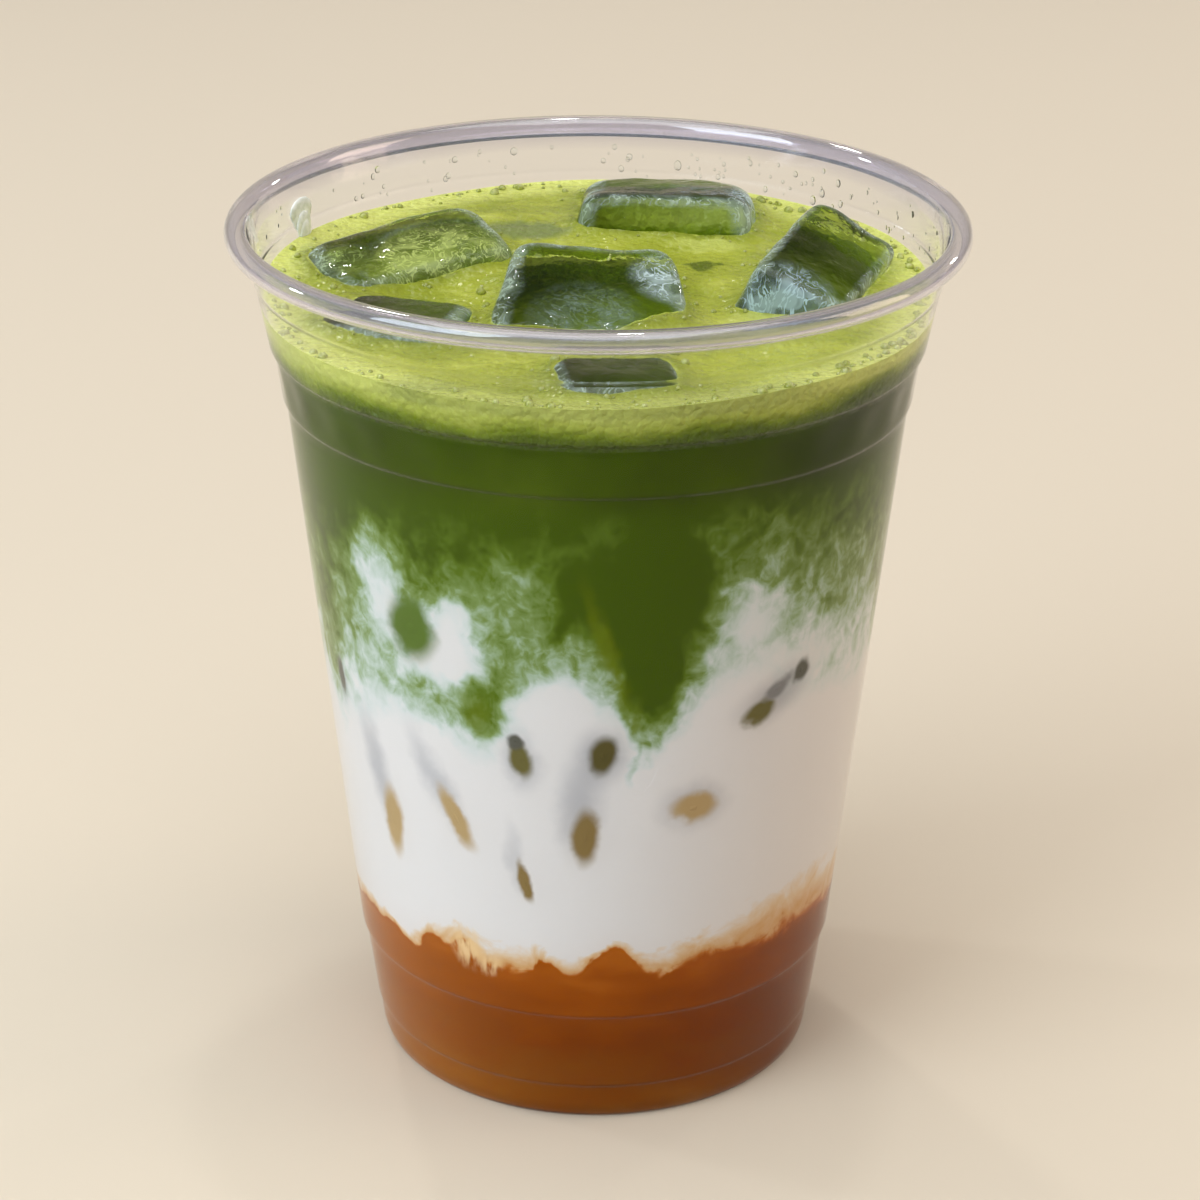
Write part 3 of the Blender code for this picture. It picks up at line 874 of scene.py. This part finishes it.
# Along its edges the ice is painted pale: partly frost, partly painted highlight standing in for the bright lines of
# light on them.
edge_frost_and_highlight = ice.stored("edge", 2).between(0.74, 0.96)
frost_and_highlight_colour = (edge_frost_and_highlight * (1 - cloudy)).blend(frost_and_highlight_colour, EDGE_FROST_AND_HIGHLIGHT)
cloudy = cloudy.most(edge_frost_and_highlight * 0.55)
ice.bump(0.4, 0.7 * MM, melted + ripple * 0.5)
ice_along = ice.node("SeparateXYZ", {}, [ice_place], output=1)
ice.feed("Base Color", ice_along.between(19, 23).blend(CLEAR_TINT, BACK_TINT))
# The haze over the ice is its frost and cloudy faces, together with the painted highlights on its edges and in the
# squiggles.
ice.lets_lamps_through((0.86, 0.9, 0.86, 1), (cloudy * frost_and_squiggle_highlights).least(0.9), frost_and_highlight_colour)
ice_blocks = {}
ice_hollows = []
for name, shape in ICE_BLOCKS.items():
    ice_blocks[name] = ice_block(name + "_block", *shape)
    show(ice_blocks[name], ice)
    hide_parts(name)
    ice_hollows.append(ice_block(name + "_hollow", *shape, swell=-ICE_DIP, cuts=HOLLOW_CUTS))


# The matcha. Whisked green tea floats on the milk. It is darkest in the middle of its depth, and the froth's colour
# comes down into its top.
FROTH_FLOOR = 102.8 * MM
LEVEL_MATCHA = 92 * MM
LOWEST_CLOUD = 75
MILK_END = (91, 97)
DEEP_GREEN = paint(100, 118, 12)
GREEN_BANDS = ((0, 46, 60, 4), (0.40, 62, 78, 6), (0.60, 72, 90, 8), (1, 98, 116, 26))
# Between these angles, on the right, the matcha is painted darker: painted shade where less light falls.
GREEN_SHADED_SIDE = (20, 58)


def cut_for_ice(layer):
    """Takes the ice blocks' room out of a layer."""
    for hollow in ice_hollows:
        cut = layer.modifiers.new("ice_room", "BOOLEAN")
        cut.operation = "DIFFERENCE"
        cut.solver = "EXACT"
        cut.object = hollow
        bpy.context.view_layer.objects.active = layer
        bpy.ops.object.modifier_apply(modifier=cut.name)
    bpy.ops.object.select_all(action="DESELECT")
    layer.select_set(True)
    bpy.ops.object.shade_smooth_by_angle(angle=math.radians(40))


FROTH_TOP = 108.4 * MM
FROTH_SURFACE = FROTH_TOP - 1.5 * MM
FROTH_ACROSS = 87.4 * MM
FROTH_BACK_RISE = 2.4 * MM
FROTH_BUMP = 0.35 * MM
MENISCUS = 0.5 * MM
FROTH_LINE = (
    (-180, 103.9), (-150, 103.4), (-120, 104.4), (-90, 103.4), (-70, 103.8), (-55, 102.8), (-40, 103.8),
    (-25, 102.8), (-10, 103.8), (5, 103), (20, 104.1), (35, 103.4), (50, 104.8), (70, 104.4), (90, 104.6),
    (120, 103.6), (150, 104.4), (180, 103.9),
)
FROTH_BANDS = ((0, 106, 120, 26), (0.35, 146, 154, 46), (0.65, 168, 174, 64), (1, 198, 202, 100))
DARK_FROTH = paint(106, 120, 26)
EDGE_FROTH = paint(208, 212, 120)
RING_BANDS = (
    (0.20, 66, 86, 2), (0.42, 84, 102, 2), (0.56, 122, 138, 26), (0.72, 168, 176, 72), (1, 192, 198, 104),
)
# Places in the froth that stand out: across, along, half width, half length, how much, and the colour.
FROTH_PATCHES = (
    (13.8, 8.1, 2.8, 2, 0.9, 78, 92, 16), (-10.5, 22.5, 7, 3.6, 0.85, 112, 124, 74),
    (-9, 31, 11, 2, 0.5, 134, 142, 50), (-0.6, -15.6, 4.5, 1.8, 0.6, 206, 208, 150),
    (32.5, -4.5, 2, 1.6, 0.8, 206, 212, 140), (15, 17.5, 5.5, 2.2, 0.6, 190, 196, 104),
    (-22, -17, 7, 3, 0.6, 110, 122, 34), (-20.7, -37, 6, 2.4, 0.5, 150, 158, 84),
    (20, -14, 5, 4, 0.4, 196, 200, 112), (0, -39, 32, 9, 0.4, 126, 134, 58),
)
SHORE_GREEN = paint(84, 98, 18)
FROTH_SKIN = 1.3


def top_of_froth(swirls, blotches):
    """The froth's colours from above: streaks at the back, a dark shore round the ice, and the patches."""
    finish = swirls.finish
    swells = swirls.wisps(13, 2, (1.6, 0.7, 1), 1.2, 61)
    froth = swirls.ramp(blotches * 0.24 + swells * 0.2 + 0.5, FROTH_BANDS)
    froth = (swirls.radius.between(37, 42) * 0.6).blend(froth, EDGE_FROTH)
    streaks = swirls.wisps(9, 4, (2.2, 0.45, 1), 0.5, 47).between(0.1, 1.3)
    froth = (streaks * swirls.along.between(14, 26) * 0.5).blend(froth, DARK_FROTH)
    shore = finish.stored("shore", 2)
    froth = (shore * blotches.between(-1.2, 0.6) * 0.75).blend(froth, SHORE_GREEN)
    bend = swirls.wisps(3, 2) * 1.2
    place = finish.flat(swirls.across + bend, swirls.along + bend)
    for across, along, half_width, half_length, strength, *colour in FROTH_PATCHES:
        off = finish.off_patch(place, (across, along), (half_width, half_length), measure="DOT_PRODUCT")
        froth = off.between(1.3, 0.3, strength).blend(froth, paint(*colour))
    return froth


def green_and_froth(swirls, over_milk):
    """The matcha's colours, or the froth's. Under the froth's skin, round the ice, the drink is dark."""
    tones = swirls.wisps(16, 3, (1, 1, 1.3), 0, 31)
    # Painted shade: the right side of the matcha is painted darker, as less light falls there.
    green_shaded_side = swirls.angle.between(*GREEN_SHADED_SIDE) * swirls.angle.between(120, 90)
    green = swirls.ramp(tones * 0.26 + 0.56 - green_shaded_side * 0.4, GREEN_BANDS)
    if over_milk:
        green = swirls.height.between(*MILK_END).blend(swirled_milk(swirls, LOWEST_CLOUD), green)
    blotches = swirls.wisps(7, 4, (1, 1, 0.7), 0, 17)
    rise = swirls.height + swirls.wisps(6, 3, (1, 1, 0.6), 0, 83) * 0.6 - swirls.line(FROTH_LINE)
    ring = swirls.ramp((rise + 2) / 7 + blotches * 0.06, RING_BANDS)
    colour = rise.between(-2.8, 0.2).blend(green, ring)
    if not over_milk:
        colour = swirls.height.between(106.9, 107.9).blend(colour, top_of_froth(swirls, blotches))
    inside = swirls.radius.between(38.5, 36.5) * swirls.height.between(92, 96)
    surface = swirls.along * (FROTH_BACK_RISE / FROTH_ACROSS) + (FROTH_TOP + FROTH_BACK_RISE / 2) / MM
    depth = (surface - swirls.height).between(FROTH_SKIN * 0.5, FROTH_SKIN)
    return (inside * depth).blend(colour, DEEP_GREEN)


matcha_outline = drum(MILK_TOP - OVERLAP, FROTH_FLOOR, 0.5 * MM)
matcha_layer = poured_layer("matcha_layer", matcha_outline, MILK_TOP, LEVEL_MATCHA, milk_lift, no_lift)
cut_for_ice(matcha_layer)
matcha = Finish("matcha", Roughness=0.5, IOR=1.05)
matcha.feed("Base Color", green_and_froth(Swirls(matcha), True))
show(matcha_layer, pure_milk, matcha)
by_height(matcha_layer, MILK_END[0], FROTH_TOP / MM)
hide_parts("matcha")


# The froth. A fine yellow-green foam from whisking lies on the matcha. It clings to the cup and to the ice, and
# bubbles of every size stand in it.
FROTH_CLING = 0.9 * MM
FROTH_CLING_REACH = 1.5 * MM
FROTH_EDGE = 42.5 * MM
FROTH_LEVEL_BELOW = 105.5 * MM
# Small waves on the froth: their size and height in millimetres.
FROTH_RIPPLES = ((3, 0.25), (1.3, 0.12))
SHORE_WIDTH = 1.6 * MM
# Hollows in the froth in millimetres: across, along, reach and depth.
FROTH_DIPS = (
    (-24, -14, 10, 1.6), (-23, 0, 7, 0.5), (2, -35, 8, 0.6), (0, -17, 7, 0.5), (26, -8, 6, 0.8),
)


def froth_lift(angle, share):
    slope = FROTH_BACK_RISE * (1 - share * math.cos(angle)) / 2
    broad = math.sin(3 * angle + 1) * math.sin(7 * share)
    small = 0.7 * math.cos(5 * angle) * math.cos(9 * share)
    return slope + FROTH_BUMP * (broad + small) + MENISCUS * share**12


def faces_of(piece):
    """A piece's faces, to measure from."""
    corners = [vert.co.copy() for vert in piece.data.vertices]
    faces = [list(face.vertices) for face in piece.data.polygons]
    return BVHTree.FromPolygons(corners, faces)


froth_shares = [index / 60 for index in range(57)] + [0.95, 0.965, 0.98, 0.99, 0.996]
froth_outline = drum(FROTH_FLOOR - OVERLAP, FROTH_TOP, 0.4 * MM, froth_shares)
froth_layer = poured_layer("froth_layer", froth_outline, FROTH_LEVEL_BELOW, FROTH_TOP, no_lift, froth_lift)
ice_surfaces = [faces_of(block) for block in ice_blocks.values()]
shore = froth_layer.data.attributes.new("shore", "FLOAT", "POINT")
for vert in froth_layer.data.vertices:
    if vert.co.z > FROTH_SURFACE and math.hypot(vert.co.x, vert.co.y) < FROTH_EDGE:
        distance = min(surface.find_nearest(vert.co)[3] for surface in ice_surfaces)
        shore.data[vert.index].value = math.exp(-distance / SHORE_WIDTH)
        ripples = sum(noise.noise(vert.co / (size * MM)) * rise * MM for size, rise in FROTH_RIPPLES)
        vert.co.z += ripples + FROTH_CLING * math.exp(-distance / FROTH_CLING_REACH)
        for across, along, reach, sink in FROTH_DIPS:
            off = math.hypot(vert.co.x / MM - across, vert.co.y / MM - along) / reach
            vert.co.z -= sink * MM * math.exp(-(off**2))
froth_layer.data.update()
cut_for_ice(froth_layer)
froth = Finish("froth", Roughness=0.4, IOR=1.35)
froth_swirls = Swirls(froth)
froth.feed("Base Color", green_and_froth(froth_swirls, False))
bubbles = froth.node("TexVoronoi", {"feature": "F1"}, {"Vector": froth_swirls.place, "Scale": 0.9})
foam = froth.cloud(froth_swirls.place, 1.2, detail=2)
froth.bump(0.5, 0.6 * MM, foam - bubbles * 0.6)
froth.feed("Roughness", foam.between(0.35, 0.65) * 0.25 + 0.13)
show(froth_layer, froth)
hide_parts("froth")

for hollow in ice_hollows:
    bpy.data.objects.remove(hollow)


# The bubbles. Coarse foam gathers in clusters along the cup's wall and round the ice.
BUBBLE_SIZES = (0.22 * MM, 0.75 * MM)
BUBBLE_LEVEL = 109.5 * MM
BUBBLE_EDGE = 42 * MM
BUBBLE_SPREAD = 2
BEAD_SEAT = -0.3
WALL_BUBBLES = 260
LOOSE_BUBBLES = 150
BUBBLE_BAYS = ((112, 16), (150, 12), (60, 14), (-70, 16), (8, 26), (-150, 18))


def round_bead(name, rings, segments):
    """A round bead of one unit's radius, flattened a little underneath, to be copied."""
    bead = start_shape(bpy.ops.mesh.primitive_uv_sphere_add, segments=segments, ring_count=rings, radius=1)
    bpy.ops.mesh.select_all(action="DESELECT")
    shape = bmesh.from_edit_mesh(bead.data)
    for vert in shape.verts:
        vert.select_set(vert.co.z < BEAD_SEAT)
    shape.select_flush(True)
    bmesh.update_edit_mesh(bead.data)
    bpy.ops.transform.resize(value=(1, 1, 0.5), center_override=(0, 0, BEAD_SEAT))
    end_shape(bead, name)
    bpy.ops.object.shade_smooth()
    return bead


def scattered(name, bead, spots):
    """One piece with a copy of the bead at each spot: its middle, its half sizes, and the way it faces."""
    scatter = bmesh.new()
    for middle, sizes, facing in spots:
        copy = bead.data.copy()
        tilt = Vector(facing).to_track_quat("Z", "Y").to_matrix()
        for vert in copy.vertices:
            vert.co = tilt @ (vert.co * Vector(sizes)) + Vector(middle)
        scatter.from_mesh(copy)
        bpy.data.meshes.remove(copy)
    mesh = bpy.data.meshes.new(name)
    scatter.to_mesh(mesh)
    scatter.free()
    piece = bpy.data.objects.new(name, mesh)
    bpy.context.scene.collection.objects.link(piece)
    mesh.shade_smooth()
    return piece


chance = random.Random(11)
froth_faces = faces_of(froth_layer)


def some_size(sizes, power):
    """A size between two, most often near the first."""
    return sizes[0] + (sizes[1] - sizes[0]) * chance.random() ** power


def froth_height(across, along):
    """The height of the froth's surface at a place, or nothing where ice stands there."""
    hit = froth_faces.ray_cast(Vector((across, along, 0.2)), Vector((0, 0, -1)))
    return hit[0].z if hit[0] is not None and hit[0].z > FROTH_SURFACE else None


bubble_spots = []


def add_bubble(place, size):
    """Stands a bubble on the froth, where there is some."""
    height = froth_height(*place)
    if height is not None:
        bubble_spots.append(((*place, height + size * 0.1), (size, size, size * 0.9), (0, 0, 1)))


for index in range(WALL_BUBBLES):
    bay, spread = chance.choice(BUBBLE_BAYS)
    turn = chance.gauss(bay, spread) if chance.random() < 0.8 else chance.uniform(-180, 180)
    size = some_size(BUBBLE_SIZES, 3)
    radius = wall_radius(BUBBLE_LEVEL) - SHEET - size - abs(chance.gauss(0, 1.1)) * MM
    add_bubble(around(math.radians(turn), radius), size)
while len(bubble_spots) < WALL_BUBBLES + LOOSE_BUBBLES:
    block = chance.choice(list(ice_blocks.values()))
    start = chance.choice(block.data.vertices).co
    size = some_size(BUBBLE_SIZES, 3)
    place = [value + chance.gauss(0, BUBBLE_SPREAD) * MM for value in start.xy]
    if math.hypot(*place) < BUBBLE_EDGE:
        add_bubble(place, size)
bubble = round_bead("one_bubble", 7, 10)
foam_bubbles = scattered("foam_bubbles", bubble, bubble_spots)
bubble_film = Finish("bubble_film", Roughness=0.06, IOR=1.33, Transmission_Weight=0.55, Coat_Weight=0.6)
film = bubble_film.cloud(bubble_film.place(), 0.8, detail=2)
bubble_film.feed("Base Color", film.between(0.35, 0.65).blend(paint(176, 184, 70), paint(226, 230, 150)))
show(foam_bubbles, bubble_film)


# The drops. Condensed and splashed water stands on the bare inside of the cup over the froth, and some foam has run
# down the left of its back.
DROPS = 110
DROP_SIZES = (0.15 * MM, 0.55 * MM)
DROP_BAYS = ((130, 22), (150, 30), (-130, 30), (180, 40))
DROP_SEAT = 0.02 * MM
SPLASH_ANGLE = math.radians(-115)
# The beads of the splash in millimetres: height, half width, half height and depth.
SPLASH_BEADS = (
    (114.2, 3, 1.9, 0.45), (113.2, 2.4, 2.2, 0.45), (112, 1.9, 2.4, 0.42), (110.6, 1.5, 2.6, 0.4),
)


def on_bare_wall(angle, height):
    """A place on the inside of the cup, and the way from it to the cup's axis."""
    spot = (*around(angle, wall_radius(height) - SHEET + DROP_SEAT), height)
    return spot, (-spot[0], -spot[1], 0)


drop_spots = []
for index in range(DROPS):
    bay, spread = chance.choice(DROP_BAYS)
    angle = math.radians(chance.gauss(bay, spread))
    height = chance.uniform(111.6, 116.4) * MM
    size = some_size(DROP_SIZES, 2.5)
    spot, facing = on_bare_wall(angle, height)
    drop_spots.append((spot, (size, size * chance.uniform(1, 1.5), size * 0.5), facing))
drop = round_bead("one_drop", 8, 12)
splash_spots = []
for height, *sizes in SPLASH_BEADS:
    spot, facing = on_bare_wall(SPLASH_ANGLE, height * MM)
    splash_spots.append((spot, [size * MM for size in sizes], facing))
splash = scattered("foam_splash", drop, splash_spots)
splash_foam = Finish("splash_foam", Roughness=0.35, IOR=1.33)
speckles = splash_foam.cloud(splash_foam.place(), 0.8, detail=3).between(0.35, 0.65)
splash_foam.feed("Base Color", speckles.blend(paint(226, 229, 220), paint(246, 247, 243)))
show(splash, splash_foam)
water_drops = scattered("water_drops", drop, drop_spots)
bpy.data.objects.remove(bubble)
bpy.data.objects.remove(drop)
water = Finish("water", Base_Color=paint(250, 252, 252), Roughness=0.01, IOR=1.33, Transmission_Weight=1)
water.bump(0.1, 0.1 * MM, water.cloud(water.place(), 0.7, detail=1))
water.lets_lamps_through((0.98, 0.98, 0.98, 1))
show(water_drops, water)
